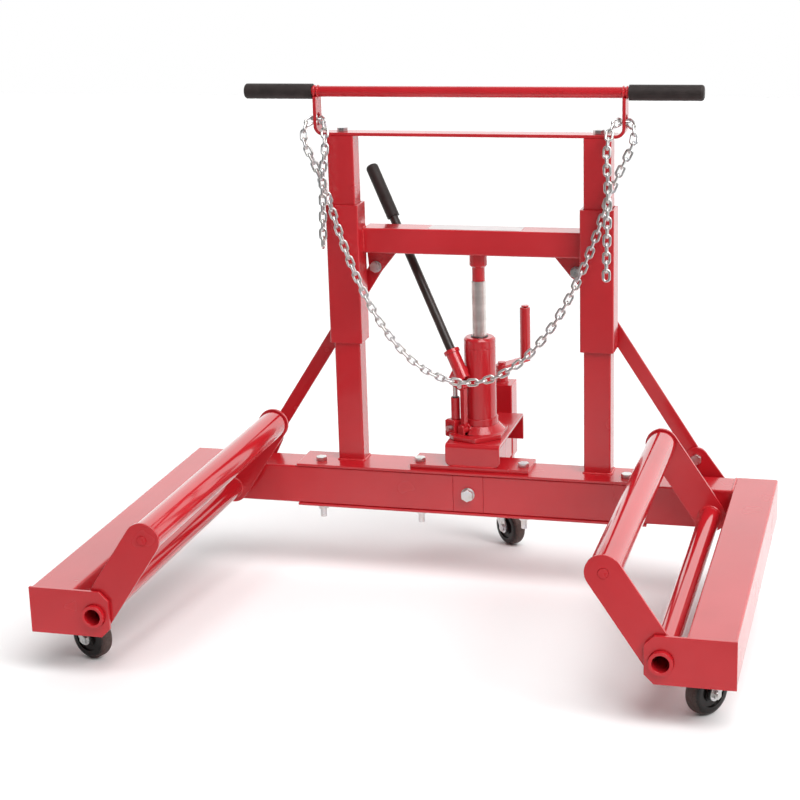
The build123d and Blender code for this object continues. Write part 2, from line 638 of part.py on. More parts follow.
def arm_pins(side):
    """Roller shaft, and the strut bolt with its washer and nut; the strut's eye itself is left open."""
    shaft_end = MIDDLE_LINK_FRONT + LINK_THICKNESS + 1
    x, z = side * ROLLER_X, ROLLER_Z
    shaft = rod((x, FRONT_LINK_FRONT - 1, z), (x, shaft_end, z), ROLLER_SHAFT)
    x, z = side * STRUT_PIN_X, STRUT_PIN_Z
    back = STRUT_FRONT + STRUT_THICKNESS + 0.5
    bolt = hex_bolt((x, LEVER_FRONT, z), (x, LEVER_FRONT + LINK_THICKNESS, z), STRUT_BOLT, 18)
    washer = rod((x, back, z), (x, back + 2, z), 22)
    nut = Plane(origin=(x, back + 2, z), z_dir=(0, 1, 0)) * hex_head(18, 9)
    tip = rod((x, back + 11, z), (x, back + 14, z), STRUT_BOLT)
    return group([shaft, bolt, washer + nut + tip])


def roller(side):
    """Roller tube with a bush pressed into each end."""
    x, z = side * ROLLER_X, ROLLER_Z
    front = FRONT_LINK_FRONT + LINK_THICKNESS + 3
    back = MIDDLE_LINK_FRONT - 3
    tube = rod((x, front, z), (x, back, z), ROLLER_OUTER) - rod((x, front, z), (x, back, z), ROLLER_BORE)
    bushes = [
        ring((x, front, z), (0, 1, 0), ROLLER_BORE, ROLLER_SHAFT + 2 * FIT, 15),
        ring((x, back - 15, z), (0, 1, 0), ROLLER_BORE, ROLLER_SHAFT + 2 * FIT, 15)]
    return group([tube, *bushes])


# ---------------------------------------------------------------- bottle jack
def jack_base_plate():
    """Plate bolted on top of the channel."""
    bar = block(-JACK_PLATE_HALF, JACK_PLATE_HALF, JACK_PLATE_FRONT, JACK_PLATE_BACK,
                BEAM_TOP, BEAM_TOP + JACK_PLATE_THICKNESS)
    for x, y in FLANGE_BOLTS:
        bar -= rod((x, y, BEAM_TOP - 1), (x, y, BEAM_TOP + 20), FLANGE_BOLT_DIAMETER)
    return bar


def jack_seat():
    """Bent saddle plate: front lip on the base plate, rear lip on the tail arm, jack on top."""
    thick = SEAT_THICKNESS
    lip_foot = BEAM_TOP + JACK_PLATE_THICKNESS
    left, right = JACK_X - SEAT_HALF, JACK_X + SEAT_HALF
    top = block(left, right, SEAT_FRONT, SEAT_BACK, SEAT_TOP - thick, SEAT_TOP)
    front = block(left, right, SEAT_FRONT, SEAT_FRONT + thick, lip_foot, SEAT_TOP)
    rear = block(left, right, SEAT_BACK - thick, SEAT_BACK, TAIL_ARM_TOP, SEAT_TOP)
    seat = top + front + rear
    seat = fillet(seat.edges().filter_by(Axis.X).group_by(Axis.Z)[-1], 8)
    lip_corners = seat.edges().filter_by(Axis.Y).filter_by_position(Axis.Z, lip_foot - 1, lip_foot + 1)
    return fillet(lip_corners, 10)


def in_lever_plane(reach, z, sideways=0.0):
    """Point in the lever's plane, or beside it towards the front."""
    heading = radians(LEVER_HEADING)
    aside = LEVER_ASIDE + sideways
    x = JACK_X + reach * cos(heading) - aside * sin(heading)
    y = JACK_Y + reach * sin(heading) + aside * cos(heading)
    return (x, y, z)


def lever_frame(reach, z):
    """Frame in the lever's plane with X along the pump's heading and Y to the front."""
    return Pos(*in_lever_plane(reach, z)) * Rot(0, 0, LEVER_HEADING)


BASE_OUTLINE = [(-46, -10), (-34, -24), (10, -37), (52, 0), (52, 64), (28, 88), (-20, 88), (-46, 62)]
BASE_EDGE = 9.0
PUMP_BARREL = 17.0
PLUNGER = 9.0
BARREL_TOP = 286.0
PIN = 6.0
BLOCK_TOP = 244.0
LINK_BAR = 9.0
LINK_FORK = 5.0
VALVE_Z = 229.0
VALVE_REACH = 21.0
VALVE_DIAMETER = 10.0
BLOCK_FRONT = 15.0


def jack_base():
    """Cast base: chamfered foot, coned collar, pump block, valve bore and a fork for the pump link."""
    foot = extrude(Pos(0, 0, SEAT_TOP) * make_face(Polyline(*BASE_OUTLINE, close=True)), amount=BASE_EDGE)
    foot = fillet(foot.edges().filter_by(Axis.Z), 4)
    low = SEAT_TOP + BASE_EDGE
    rise = JACK_BASE_TOP - low
    cone = Pos(JACK_X, JACK_Y, low + rise / 2) * Cone(46, 34, rise)
    back = 10.0
    lump = lever_frame(PLUNGER_REACH, 0) * block(-12, 14, -back, BLOCK_FRONT, SEAT_TOP, BLOCK_TOP)
    lump = chamfer(lump.edges().group_by(Axis.Z)[-1], 3)
    base = foot + cone + lump
    ear = Pos(0, LINK_FOOT_Z - 4) * Rectangle(16, 16) + Pos(0, LINK_FOOT_Z + 4) * Circle(8)
    cheek = plate(ear, 0, LINK_FORK)
    for y in (-LINK_BAR / 2 - 0.5 - LINK_FORK, LINK_BAR / 2 + 0.5):
        base += lever_frame(LINK_REACH, 0) * Pos(0, y, 0) * cheek
    gap = LINK_BAR / 2 + 0.5
    base -= lever_frame(LINK_REACH, 0) * block(-9, 9.5, -gap, gap, LINK_FOOT_Z - 8, BLOCK_TOP + 20)
    low, high = SEAT_TOP + 12, BLOCK_TOP + 1
    base -= rod(in_lever_plane(PLUNGER_REACH, low), in_lever_plane(PLUNGER_REACH, high), PUMP_BARREL)
    inner = in_lever_plane(VALVE_REACH, VALVE_Z, BLOCK_FRONT - 5)
    outer = in_lever_plane(VALVE_REACH, VALVE_Z, BLOCK_FRONT + 30)
    base -= rod(inner, outer, VALVE_DIAMETER + 2 * FIT)
    above = (JACK_X, JACK_Y, JACK_BASE_TOP + 60)
    return base - rod((JACK_X, JACK_Y, JACK_BASE_TOP), above, CYLINDER_DIAMETER + 6)


def jack_cylinder():
    """Reservoir tube with its lower collar."""
    tube = rod((JACK_X, JACK_Y, JACK_BASE_TOP), (JACK_X, JACK_Y, CAP_BOTTOM), CYLINDER_DIAMETER)
    collar = rod((JACK_X, JACK_Y, JACK_BASE_TOP), (JACK_X, JACK_Y, JACK_BASE_TOP + 12), CYLINDER_DIAMETER + 6)
    low = JACK_BASE_TOP + 6
    return tube + collar - rod((JACK_X, JACK_Y, low), (JACK_X, JACK_Y, CAP_BOTTOM + 1), RAM_DIAMETER + 8)


def jack_cap_nut():
    """Top nut that closes the reservoir and guides the ram."""
    nut = rod((JACK_X, JACK_Y, CAP_BOTTOM), (JACK_X, JACK_Y, CAP_TOP), CYLINDER_DIAMETER)
    nut = chamfer(nut.edges().filter_by(GeomType.CIRCLE).group_by(Axis.Z)[-1], 4)
    low, high = CAP_BOTTOM - 1, CAP_TOP + 1
    return nut - rod((JACK_X, JACK_Y, low), (JACK_X, JACK_Y, high), RAM_DIAMETER + 2 * FIT)


def jack_ram():
    """Polished ram with its piston."""
    low = CAP_TOP - 60
    ram = rod((JACK_X, JACK_Y, low), (JACK_X, JACK_Y, RAM_TOP), RAM_DIAMETER)
    return ram + rod((JACK_X, JACK_Y, low), (JACK_X, JACK_Y, low + 12), RAM_DIAMETER + 7.6)


def jack_saddle():
    """Extension neck and saddle on top of the ram."""
    neck = rod((JACK_X, JACK_Y, RAM_TOP), (JACK_X, JACK_Y, NECK_TOP), 24)
    saddle = rod((JACK_X, JACK_Y, NECK_TOP), (JACK_X, JACK_Y, LIFT_BEAM_BOTTOM), 33)
    return neck + chamfer(saddle.edges().filter_by(GeomType.CIRCLE).group_by(Axis.Z)[0], 4)


def pump_barrel():
    """Pump cylinder screwed into the base, bored for the plunger."""
    low = SEAT_TOP + 12
    body = rod(in_lever_plane(PLUNGER_REACH, low), in_lever_plane(PLUNGER_REACH, BARREL_TOP), PUMP_BARREL)
    start, end = in_lever_plane(PLUNGER_REACH, low + 6), in_lever_plane(PLUNGER_REACH, BARREL_TOP + 1)
    return body - rod(start, end, PLUNGER + 2 * FIT)


LEVER_CHEEK = 4.0
LEVER_GAP = 12.0


def cross_pin(reach, z, length, diameter):
    """Pin across the pump lever."""
    start = in_lever_plane(reach, z, -length / 2)
    return rod(start, in_lever_plane(reach, z, length / 2), diameter)


def pump_link():
    """Upright link that is the lever's fulcrum, with its pin."""
    bar = Pos(0, (LINK_FOOT_Z + LINK_PIN_Z) / 2) * Rectangle(10, LINK_PIN_Z - LINK_FOOT_Z)
    bar += Pos(0, LINK_PIN_Z) * Circle(8) + Pos(0, LINK_FOOT_Z) * Circle(7)
    bar = plate(bar, -LINK_BAR / 2, LINK_BAR)
    top_pin = cross_pin(LINK_REACH, LINK_PIN_Z, 26, PIN)
    return lever_frame(LINK_REACH, 0) * bar + top_pin


def along_lever(distance, aside=0.0):
    """Point along the pump handle's axis, measured from beside the fulcrum pin."""
    lean = radians(HANDLE_LEAN)
    reach = LINK_REACH - HANDLE_OFFSET + distance * sin(lean)
    return in_lever_plane(reach, LINK_PIN_Z + distance * cos(lean), aside)


SOCKET_START = 12.0
SOCKET_END = 74.0
SOCKET_DIAMETER = 26.0
PUMP_TUBE = 17.0
PUMP_TUBE_END = 462.0
PUMP_GRIP_START = 355.0
PUMP_GRIP_END = 466.0
PUMP_GRIP = 24.0


def pump_socket():
    """Handle socket with two cheeks that straddle the link and the plunger's eye."""
    start, end = along_lever(SOCKET_START), along_lever(SOCKET_END)
    body = rod(start, end, SOCKET_DIAMETER) + rod(along_lever(SOCKET_END - 7), end, SOCKET_DIAMETER + 5)
    reach, rise = PLUNGER_REACH - LINK_REACH, PLUNGER_PIN_Z - LINK_PIN_Z
    lean = radians(HANDLE_LEAN)
    outline = make_hull([
        *Circle(9).edges(),
        *(Pos(reach, rise) * Circle(8)).edges(),
        *(Pos(30 * sin(lean) - HANDLE_OFFSET, 30 * cos(lean)) * Circle(11)).edges()])
    outline -= Circle(PIN / 2 + FIT)
    outline -= Pos(reach, rise) * Circle(PIN / 2 + FIT)
    for y in (-LEVER_GAP / 2 - LEVER_CHEEK, LEVER_GAP / 2):
        body += lever_frame(LINK_REACH, LINK_PIN_Z) * plate(outline, y, LEVER_CHEEK)
    slot = block(-24, 34, -LEVER_GAP / 2, LEVER_GAP / 2, -12, 19)
    body -= lever_frame(LINK_REACH, LINK_PIN_Z) * slot
    body -= cross_pin(LINK_REACH, LINK_PIN_Z, 60, PIN + 2 * FIT)
    body -= cross_pin(PLUNGER_REACH, PLUNGER_PIN_Z, 60, PIN + 2 * FIT)
    return body - rod(along_lever(SOCKET_START + 22), along_lever(SOCKET_END + 1), PUMP_TUBE)


def pump_handle():
    """Steel tube pushed into the socket."""
    tube = rod(along_lever(SOCKET_START + 22), along_lever(PUMP_TUBE_END), PUMP_TUBE)
    return tube - rod(along_lever(SOCKET_START + 21), along_lever(PUMP_TUBE_END - 6), PUMP_TUBE - 4)


def pump_grip():
    """Rubber grip closed over the top of the pump handle."""
    grip = rod(along_lever(PUMP_GRIP_START), along_lever(PUMP_GRIP_END), PUMP_GRIP)
    grip = fillet(grip.edges().filter_by(GeomType.CIRCLE).sort_by(Axis.Z)[-1], 7)
    return grip - rod(along_lever(PUMP_GRIP_START - 1), along_lever(PUMP_TUBE_END), PUMP_TUBE)


def pump_plunger():
    """Plunger rod with the eye that the lever drives."""
    low = BARREL_TOP - 34
    shaft = rod(in_lever_plane(PLUNGER_REACH, low), in_lever_plane(PLUNGER_REACH, PLUNGER_PIN_Z - 5), PLUNGER)
    return shaft + lever_frame(PLUNGER_REACH, PLUNGER_PIN_Z) * plate(Circle(7), -5, 10)


def release_valve():
    """Release valve: short cross-drilled spindle in the front of the pump block."""
    start = in_lever_plane(VALVE_REACH, VALVE_Z, BLOCK_FRONT - 5)
    end = in_lever_plane(VALVE_REACH, VALVE_Z, BLOCK_FRONT + 10)
    hole = Pos(*in_lever_plane(VALVE_REACH, VALVE_Z, BLOCK_FRONT + 6)) * Cylinder(1.5, 20)
    return rod(start, end, VALVE_DIAMETER) - hole


# ---------------------------------------------------------------- safety chain
def chain_route():
    """Route of the chain: up one tail, through an upright, down the swag and back the same way."""
    lean = tan(radians(PITCH))
    top = [(-264, -24, 803), (-273, -11, 811), (-285, -5, 812), (-297, -10, 809), (-304, -19, 797)]
    top += [(-304, -28, 778), (-292, -33, 750), (-276, -35, 715)]
    half = []
    for z in (680, 640, 590, 530, 470, 410, 365):
        x = SWAG_CURVE * acosh(1 + (z - SWAG_BOTTOM) / SWAG_CURVE)
        front = SWAG_FRONT - lean * max(0, SLEEVE_TOP - z)
        half.append((-x, front, z))
    bottom = (0, SWAG_FRONT - lean * (SLEEVE_TOP - SWAG_BOTTOM), SWAG_BOTTOM)

    def tail(end):
        drop = [(-261, -35, 786), (-259, -45, 758), (-262, -53, 725)]
        return drop + [(-263, -54 - lean * (700 - z), z) for z in (690, 640, end)]

    left = list(reversed(tail(585))) + top + half
    right = [(-x, y, z) for x, y, z in list(reversed(tail(533))) + top + half]
    return left + [bottom] + list(reversed(right))


def chain_link():
    """One welded link, lying in XY with its length along X."""
    bend = (CHAIN_WIDTH - CHAIN_WIRE) / 2
    reach = CHAIN_LINK / 2 - CHAIN_WIRE / 2 - bend
    path = SlotCenterToCenter(2 * reach, 2 * bend).wire()
    start = path @ 0
    return sweep(Plane(origin=start, z_dir=path % 0) * Circle(CHAIN_WIRE / 2), path=path)


def safety_chain():
    """Links one pitch apart along the route, each turned a quarter from the last."""
    pitch = CHAIN_LINK - 2 * CHAIN_WIRE - CHAIN_SLACK
    path = Spline(*chain_route())
    count = floor(path.length / pitch)
    joints = [path @ (index * pitch / path.length) for index in range(count + 1)]
    link = chain_link()
    links = []
    for index in range(count):
        start, end = joints[index], joints[index + 1]
        along = (end - start).normalized()
        across = (Vector(0, 1, 0) - along * along.Y).normalized()
        facing = across if index % 2 else along.cross(across)
        links.append(Plane(origin=(start + end) / 2, x_dir=along, z_dir=facing).location * link)
    return group(links)


# ---------------------------------------------------------------- the whole machine
def build_nodes():
    """Every sub-part by name, in the machine frame."""
    nodes = {
        "channel_beam": channel_beam(),
        "center_block": center_block(),
        "front_end_plates": front_end_plates(),
        "handle_bracket": handle_bracket(),
        "handle_bar": handle_bar(),
        "handle_grips": handle_grips(),
        "frame_bolts": frame_bolts(),
        "frame_nuts": frame_nuts(),
        "jack_base_plate": jack_base_plate(),
        "jack_seat": jack_seat(),
        "jack_base": jack_base(),
        "jack_cylinder": jack_cylinder(),
        "jack_cap_nut": jack_cap_nut(),
        "jack_ram": jack_ram(),
        "jack_saddle": jack_saddle(),
        "pump_barrel": pump_barrel(),
        "pump_link": pump_link(),
        "pump_plunger": pump_plunger(),
        "pump_socket": pump_socket(),
        "pump_handle": pump_handle(),
        "pump_grip": pump_grip(),
        "release_valve": release_valve(),
        "lift_beam": lift_beam(),
        "beam_label": beam_label(),
        "lift_gussets": lift_gussets(),
        "gusset_bolts": gusset_bolts(),
        "tail_arm": tail_arm(),
        "tail_sleeve": tail_sleeve(),
        "tail_leg": tail_leg(),
        "tail_crank": tail_crank(),
        "crank_grip": crank_grip(),
        "safety_chain": safety_chain(),
    }
    for name, side in SIDES.items():
        nodes[f"{name}_cross_tube"] = cross_tube(side)
        nodes[f"{name}_leg_box"] = leg_box(side)
        nodes[f"{name}_post"] = post(side)
        nodes[f"{name}_sleeve"] = sleeve(side)
        nodes[f"{name}_strut"] = strut(side)
        nodes[f"{name}_pivot_tube"] = pivot_tube(side)
        nodes[f"{name}_arm_links"] = arm_links(side)
        nodes[f"{name}_arm_pins"] = arm_pins(side)
        nodes[f"{name}_roller"] = roller(side)
    nodes["front_caster_plates"] = group([caster_plate("left", 60), caster_plate("right", 60)])
    nodes["rear_caster_plate"] = caster_plate("rear", 60)
    for name in CASTERS:
        nodes[f"{name}_caster_fork"] = caster_fork(name)
        nodes[f"{name}_caster_wheel"] = caster_wheel(name)
    return nodes


def main():
    """Stand the machine on its wheels, centre it over the origin and write one file per node."""
    nodes = build_nodes()
    stand = standing()
    placed = {name: stand * shape for name, shape in nodes.items()}
    boxes = [shape.bounding_box() for shape in placed.values()]
    low = Vector(*[min(getattr(box.min, axis) for box in boxes) for axis in "XYZ"])
    high = Vector(*[max(getattr(box.max, axis) for box in boxes) for axis in "XYZ"])
    centre = Pos(-(low.X + high.X) / 2, -(low.Y + high.Y) / 2, -low.Z)
    os.makedirs("parts", exist_ok=True)
    for name, shape in placed.items():
        export_step(centre * shape, f"parts/{name}.step")


main()
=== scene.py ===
import json
import random
from math import cos, pi, radians, sin

import bpy
from mathutils import Matrix, Vector


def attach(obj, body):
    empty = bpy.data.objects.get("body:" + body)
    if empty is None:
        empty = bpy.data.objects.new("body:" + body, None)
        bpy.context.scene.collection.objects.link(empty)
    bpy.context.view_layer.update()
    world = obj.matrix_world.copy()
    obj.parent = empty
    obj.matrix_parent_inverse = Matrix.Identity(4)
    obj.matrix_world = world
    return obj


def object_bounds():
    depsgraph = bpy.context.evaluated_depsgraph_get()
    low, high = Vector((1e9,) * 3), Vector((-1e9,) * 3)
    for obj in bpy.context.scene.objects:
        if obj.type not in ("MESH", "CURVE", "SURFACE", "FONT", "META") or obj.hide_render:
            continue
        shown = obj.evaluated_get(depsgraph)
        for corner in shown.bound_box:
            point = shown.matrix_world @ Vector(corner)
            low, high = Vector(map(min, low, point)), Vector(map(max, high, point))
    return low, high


# The looks of a hydraulic dual-wheel dolly: paint, plating, rubber and a blank label on the CAD
# parts, softened edges, weld beads, small hardware, and a plain white studio.
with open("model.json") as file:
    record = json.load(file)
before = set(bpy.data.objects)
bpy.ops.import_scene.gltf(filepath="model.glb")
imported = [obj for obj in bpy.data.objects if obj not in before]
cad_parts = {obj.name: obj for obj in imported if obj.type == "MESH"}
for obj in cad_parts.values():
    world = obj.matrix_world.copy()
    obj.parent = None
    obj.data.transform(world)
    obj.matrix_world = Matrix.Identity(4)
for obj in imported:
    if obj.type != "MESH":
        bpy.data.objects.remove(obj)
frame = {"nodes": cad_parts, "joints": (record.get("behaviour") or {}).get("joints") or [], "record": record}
cad_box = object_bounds()
JOINTS = {joint["name"]: joint for joint in frame["joints"]}

# ---------------------------------------------------------------- the machine's own frame
# The dolly stands pitched a little forward. Its own frame has X to the right, BACK to the rear
# and UP along the posts; new pieces are laid out in it, in millimetres.
UP = Vector(JOINTS["lift_slide"]["axis"])
BACK = Vector(JOINTS["left_arm_swing"]["axis"])
ARM_ANCHOR_Y, ARM_ANCHOR_Z = -400.0, 115.3  # where the arms' joints are anchored
MM = 0.001


def joint_place(name):
    """A joint's anchor in the row frame."""
    return Vector(JOINTS[name]["pos_m"])


def machine_matrix():
    """Matrix from machine millimetres to the row frame's metres."""
    middle = (joint_place("left_arm_swing") + joint_place("right_arm_swing")) / 2
    origin = middle - BACK * ARM_ANCHOR_Y * MM - UP * ARM_ANCHOR_Z * MM
    matrix = Matrix.Identity(4)
    for column, axis in enumerate((Vector((1, 0, 0)), BACK, UP)):
        for row in range(3):
            matrix[row][column] = axis[row] * MM
    matrix.translation = origin
    return matrix


MACHINE = machine_matrix()


# ---------------------------------------------------------------- camera, light and floor
CAMERA_PLACE = (795.0, -3336.0, 1280.0)
CAMERA_YAW = radians(15.71)
CAMERA_PITCH = radians(16.13)
CAMERA_ROLL = radians(-1.72)
CAMERA_LENS = 85.38


def add_camera():
    """Camera at three-quarter front view, a little above the handle."""
    yaw, pitch, roll = CAMERA_YAW, CAMERA_PITCH, CAMERA_ROLL
    ahead = Vector((-sin(yaw) * cos(pitch), cos(yaw) * cos(pitch), -sin(pitch)))
    level = Vector((cos(yaw), sin(yaw), 0))
    above = level.cross(ahead)
    right = level * cos(roll) + above * sin(roll)
    top = above * cos(roll) - level * sin(roll)
    turn = MACHINE.to_3x3() * (1 / MM)
    matrix = Matrix.Identity(4)
    for column, axis in enumerate((turn @ right, turn @ top, turn @ -ahead)):
        for row in range(3):
            matrix[row][column] = axis[row]
    matrix.translation = MACHINE @ Vector(CAMERA_PLACE)
    data = bpy.data.cameras.new("camera")
    data.lens = CAMERA_LENS
    data.clip_end = 100
    camera = bpy.data.objects.new("camera", data)
    bpy.context.scene.collection.objects.link(camera)
    camera.matrix_world = matrix
    bpy.context.scene.camera = camera


def add_sun(direction, spread, strength):
    """Broad even light from one side, which also lights the floor out to the horizon."""
    data = bpy.data.lights.new("overhead", "SUN")
    data.angle = radians(spread)
    data.energy = strength
    light = bpy.data.objects.new("overhead", data)
    bpy.context.scene.collection.objects.link(light)
    light.rotation_euler = Vector(direction).to_track_quat("-Z", "Y").to_euler()


def add_softbox(name, place, target, size, power):
    """Square area light aimed at a point."""
    data = bpy.data.lights.new(name, "AREA")
    data.size = size
    data.energy = power
    light = bpy.data.objects.new(name, data)
    bpy.context.scene.collection.objects.link(light)
    light.location = place
    light.rotation_euler = (Vector(target) - Vector(place)).to_track_quat("-Z", "Y").to_euler()


BACKDROP_BRIGHT = 1.3
STUDIO_DIM = 0.13
BACKDROP_START, BACKDROP_FULL = -0.15, 0.75  # from the viewer's side to behind the object


def add_world():
    """White backdrop that is brightest behind the object and dimmer on the viewer's side."""
    world = bpy.data.worlds.new("studio")
    bpy.context.scene.world = world
    world.use_nodes = True
    nodes, links = world.node_tree.nodes, world.node_tree.links
    nodes.clear()
    place = nodes.new("ShaderNodeTexCoord")
    split = nodes.new("ShaderNodeSeparateXYZ")
    links.new(place.outputs["Generated"], split.inputs[0])
    spread = nodes.new("ShaderNodeMapRange")
    spread.interpolation_type = "SMOOTHSTEP"
    spread.inputs["From Min"].default_value = BACKDROP_START
    spread.inputs["From Max"].default_value = BACKDROP_FULL
    spread.inputs["To Min"].default_value = STUDIO_DIM
    spread.inputs["To Max"].default_value = BACKDROP_BRIGHT
    links.new(split.outputs["Y"], spread.inputs["Value"])
    lit = nodes.new("ShaderNodeBackground")
    lit.inputs["Color"].default_value = (1, 1, 1, 1)
    links.new(spread.outputs["Result"], lit.inputs["Strength"])
    seen = nodes.new("ShaderNodeBackground")
    seen.inputs["Color"].default_value = (1, 1, 1, 1)
    rays = nodes.new("ShaderNodeLightPath")
    mix = nodes.new("ShaderNodeMixShader")
    out = nodes.new("ShaderNodeOutputWorld")
    links.new(rays.outputs["Is Camera Ray"], mix.inputs["Fac"])
    links.new(lit.outputs[0], mix.inputs[1])
    links.new(seen.outputs[0], mix.inputs[2])
    links.new(mix.outputs[0], out.inputs["Surface"])


# ---------------------------------------------------------------- materials
class Finish:
    """A principled material with short helpers for its procedural nodes."""

    def __init__(self, name):
        self.material = bpy.data.materials.new(name)
        self.material.use_nodes = True
        self.nodes = self.material.node_tree.nodes
        self.links = self.material.node_tree.links
        self.shader = self.nodes["Principled BSDF"]
        self.place = self.nodes.new("ShaderNodeTexCoord").outputs["Object"]

    def set(self, **values):
        """Sets or links inputs of the principled shader by name."""
        for name, value in values.items():
            socket = self.shader.inputs[name.replace("_", " ")]
            if isinstance(value, bpy.types.NodeSocket):
                self.links.new(value, socket)
            else:
                socket.default_value = value
        return self

    def noise(self, scale, detail=2.0, roughness=0.5, vector=None):
        """Noise of a given number of cells per metre, 0 to 1."""
        node = self.nodes.new("ShaderNodeTexNoise")
        node.inputs["Scale"].default_value = scale
        node.inputs["Detail"].default_value = detail
        node.inputs["Roughness"].default_value = roughness
        self.links.new(vector or self.place, node.inputs["Vector"])
        return node.outputs["Fac"]

    def scratches(self, scale, squeeze):
        """Noise drawn out along one direction of the piece."""
        node = self.nodes.new("ShaderNodeMapping")
        node.inputs["Scale"].default_value = squeeze
        self.links.new(self.place, node.inputs["Vector"])
        return self.noise(scale, 3.0, 0.6, node.outputs["Vector"])

    def rings(self, distance, scale, detail):
        """Noise that changes only with a distance, 0 to 1."""
        node = self.nodes.new("ShaderNodeTexNoise")
        node.noise_dimensions = "1D"
        node.inputs["Scale"].default_value = scale
        node.inputs["Detail"].default_value = detail
        self.links.new(distance, node.inputs["W"])
        return node.outputs["Fac"]

    def spots(self, scale):
        """Distance to the nearest of scattered points, for cast pits."""
        node = self.nodes.new("ShaderNodeTexVoronoi")
        node.inputs["Scale"].default_value = scale
        self.links.new(self.place, node.inputs["Vector"])
        return node.outputs["Distance"]

    def ramp(self, value, *stops):
        """Colour ramp through (position, colour) stops."""
        node = self.nodes.new("ShaderNodeValToRGB")
        elements = node.color_ramp.elements
        while len(elements) < len(stops):
            elements.new(0.5)
        for element, (position, colour) in zip(elements, stops):
            element.position = position
            element.color = (*colour, 1)
        self.links.new(value, node.inputs["Fac"])
        return node.outputs["Color"]

    def spread(self, value, low, high, start=0.3, end=0.7):
        """Maps start..end of a value to low..high."""
        node = self.nodes.new("ShaderNodeMapRange")
        node.inputs["From Min"].default_value = start
        node.inputs["From Max"].default_value = end
        node.inputs["To Min"].default_value = low
        node.inputs["To Max"].default_value = high
        self.links.new(value, node.inputs["Value"])
        return node.outputs["Result"]

    def blend(self, factor, first, second):
        """Mixes two colours."""
        node = self.nodes.new("ShaderNodeMix")
        node.data_type = "RGBA"
        sockets = (node.inputs["Factor"], node.inputs[6], node.inputs[7])
        for socket, value in zip(sockets, (factor, first, second)):
            if isinstance(value, bpy.types.NodeSocket):
                self.links.new(value, socket)
            elif isinstance(value, tuple):
                socket.default_value = (*value, 1)
            else:
                socket.default_value = value
        return node.outputs[2]

    def maths(self, operation, first, second):
        """Combines two values."""
        node = self.nodes.new("ShaderNodeMath")
        node.operation = operation
        for socket, value in zip(node.inputs, (first, second)):
            if isinstance(value, bpy.types.NodeSocket):
                self.links.new(value, socket)
            else:
                socket.default_value = value
        return node.outputs[0]

    def vectors(self, operation, first, second):
        """Combines two vectors; gives the node."""
        node = self.nodes.new("ShaderNodeVectorMath")
        node.operation = operation
        for socket, value in zip(node.inputs, (first, second)):
            if isinstance(value, bpy.types.NodeSocket):
                self.links.new(value, socket)
            else:
                socket.default_value = value
        return node

    def along(self, axis):
        """Distance along an axis of the row frame, in metres."""
        return self.vectors("DOT_PRODUCT", self.place, tuple(axis)).outputs["Value"]

    def off_axis(self, centre, axis):
        """Distance from an axis through a point, in metres."""
        away = self.vectors("SUBTRACT", self.place, tuple(centre)).outputs["Vector"]
        across = self.vectors("CROSS_PRODUCT", away, tuple(axis)).outputs["Vector"]
        return self.vectors("LENGTH", across, (0, 0, 0)).outputs["Value"]

    def bump(self, *layers):
        """Stacks bump layers of (height, depth in millimetres)."""
        normal = None
        for height, depth in layers:
            node = self.nodes.new("ShaderNodeBump")
            node.inputs["Strength"].default_value = 1.0
            node.inputs["Distance"].default_value = depth * MM
            self.links.new(height, node.inputs["Height"])
            if normal:
                self.links.new(normal, node.inputs["Normal"])
            normal = node.outputs["Normal"]
        return self.set(Normal=normal)


RED_DEEP = (0.440, 0.0085, 0.014)
RED_MIDDLE = (0.495, 0.0115, 0.018)
RED_BRIGHT = (0.540, 0.016, 0.024)


def red_paint(name, peel, cast=0.0, dull=0.25, coat_dull=0.07):
    """Gloss red enamel: slight tone changes, orange peel, and pits where the metal under it is cast."""
    finish = Finish(name)
    tone = finish.ramp(finish.noise(5, 3), (0.30, RED_DEEP), (0.52, RED_MIDDLE), (0.72, RED_BRIGHT))
    dust = finish.spread(finish.noise(900, 2), 0.0, 0.05, 0.62, 0.80)
    colour = finish.blend(dust, tone, (0.62, 0.10, 0.10))
    gloss = finish.spread(finish.noise(12, 2), dull * 0.9, dull * 1.12)
    finish.set(Base_Color=colour, Roughness=gloss, Coat_Weight=0.55, Coat_Roughness=coat_dull, IOR=1.5)
    layers = [(finish.noise(240, 2), peel), (finish.noise(40, 1), peel * 0.8)]
    if cast:
        layers.append((finish.spots(520), cast))
        layers.append((finish.noise(900, 3), cast * 0.5))
    return finish.bump(*layers).material


def weld_paint():
    """The same enamel over a weld bead, a little paler where it pools."""
    finish = Finish("weld_red")
    tone = finish.ramp(finish.noise(160, 3), (0.3, (0.50, 0.013, 0.018)), (0.7, (0.62, 0.030, 0.036)))
    finish.set(Base_Color=tone, Roughness=0.26, Coat_Weight=0.6, Coat_Roughness=0.08)
    return finish.bump((finish.noise(700, 3), 0.05)).material


def zinc(name, bright, rough):
    """Bright zinc plate: cloudy sheen with a faint warm and cool cast, and fine handling scratches."""
    finish = Finish(name)
    cloud = finish.ramp(
        finish.noise(70, 4),
        (0.30, tuple(bright * k for k in (0.90, 0.89, 0.84))),
        (0.50, tuple(bright * k for k in (1.00, 1.00, 0.985))),
        (0.72, tuple(bright * k for k in (0.93, 0.95, 1.00))))
    speck = finish.spread(finish.noise(1400, 2), 0.0, 0.35, 0.66, 0.80)
    colour = finish.blend(speck, cloud, (0.30, 0.28, 0.25))
    sheen = finish.spread(finish.noise(160, 4), rough * 0.75, rough * 1.35)
    finish.set(Base_Color=colour, Metallic=1.0, Roughness=sheen)
    return finish.bump((finish.scratches(260, (1, 9, 3)), 0.02), (finish.noise(900, 2), 0.012)).material


BETWEEN_PINS = -30.0  # in front of this lies the roller's shaft, behind it the strut's bolt


